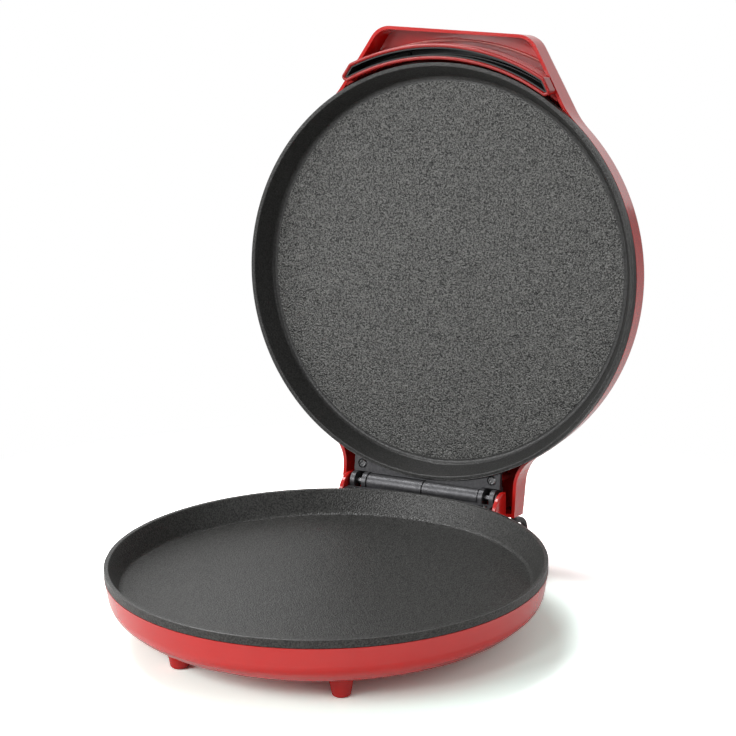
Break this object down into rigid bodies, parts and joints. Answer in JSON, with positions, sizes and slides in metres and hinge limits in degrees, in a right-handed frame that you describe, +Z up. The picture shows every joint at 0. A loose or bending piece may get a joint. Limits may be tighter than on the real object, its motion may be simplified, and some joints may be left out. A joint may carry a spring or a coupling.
{
  "type": "electric pizza maker",
  "caption": "Countertop pizza maker with round non-stick plates, its lid swung up and back about a cast rear hinge to cook flat round food between them.",
  "frame": {"origin": "centre of the round base on the surface that its feet stand on", "axes": "+Z up, +X to the user's right, the front at -Y, the hinge at +Y"},
  "size_m": [0.3142, 0.4037, 0.3963],
  "materials": {
    "red_casing": "deep glossy red moulding",
    "red_handle": "red moulding, gloss rails and satin skirt",
    "red_feet": "glossy red moulding",
    "nonstick_plate": "black non-stick coating on cast aluminium",
    "cast_hinge": "dark satin cast metal",
    "steel_pin": "bright steel",
    "screw_steel": "plated steel",
    "screw_black": "blackened steel",
    "element_steel": "dull heater tube",
    "bright_sheet": "bright sheet metal",
    "black_plastic": "black moulding",
    "cream_plastic": "cream moulding",
    "black_rubber": "black flexible covering",
    "red_lens": "clear red lens",
    "green_lens": "clear green lens",
    "lamp_glass": "small glass lamp"
  },
  "bodies": {
    "base": {"base_casing": "red_casing", "base_casing_screws": "screw_steel", "base_element_clamps": "bright_sheet", "base_heat_reflector": "bright_sheet", "base_heating_element": "element_steel", "base_hinge_bracket": "cast_hinge", "base_hinge_screws": "screw_steel", "base_lead_bush": "black_plastic", "base_plate": "nonstick_plate", "base_plate_screws": "screw_steel", "cord_gland": "black_plastic", "front_feet": "red_feet", "hinge_pin": "steel_pin", "hinge_pin_clips": "steel_pin", "lid_lead": "black_rubber", "rear_feet": "red_feet", "terminal_block": "cream_plastic", "thermal_fuse": "cream_plastic", "thermal_fuse_clamp": "bright_sheet", "thermostat": "bright_sheet"},
    "lid": {"lid_casing": "red_casing", "handle_insert": "red_handle", "handle_screws": "screw_black", "handle_slot_liner": "black_plastic", "lid_plate": "nonstick_plate", "lid_heating_element": "element_steel", "lid_element_clamps": "bright_sheet", "lid_plate_screws": "screw_steel", "lid_heat_reflector": "bright_sheet", "lid_reflector_rings": "bright_sheet", "lid_hinge_bracket": "cast_hinge", "lid_hinge_screws": "screw_steel", "lid_lead_bush": "black_plastic", "power_lamp_lens": "red_lens", "ready_lamp_lens": "green_lens", "lamp_holder": "cream_plastic", "indicator_lamps": "lamp_glass"}
  },
  "joints": [
    {"name": "lid_hinge", "type": "hinge", "parent": "base", "child": "lid", "pos_m": [0, 0.1649, 0.0553], "axis": [1, 0, 0], "range_deg": [0, 98.6], "deforming": ["lid_lead"]}
  ]
}
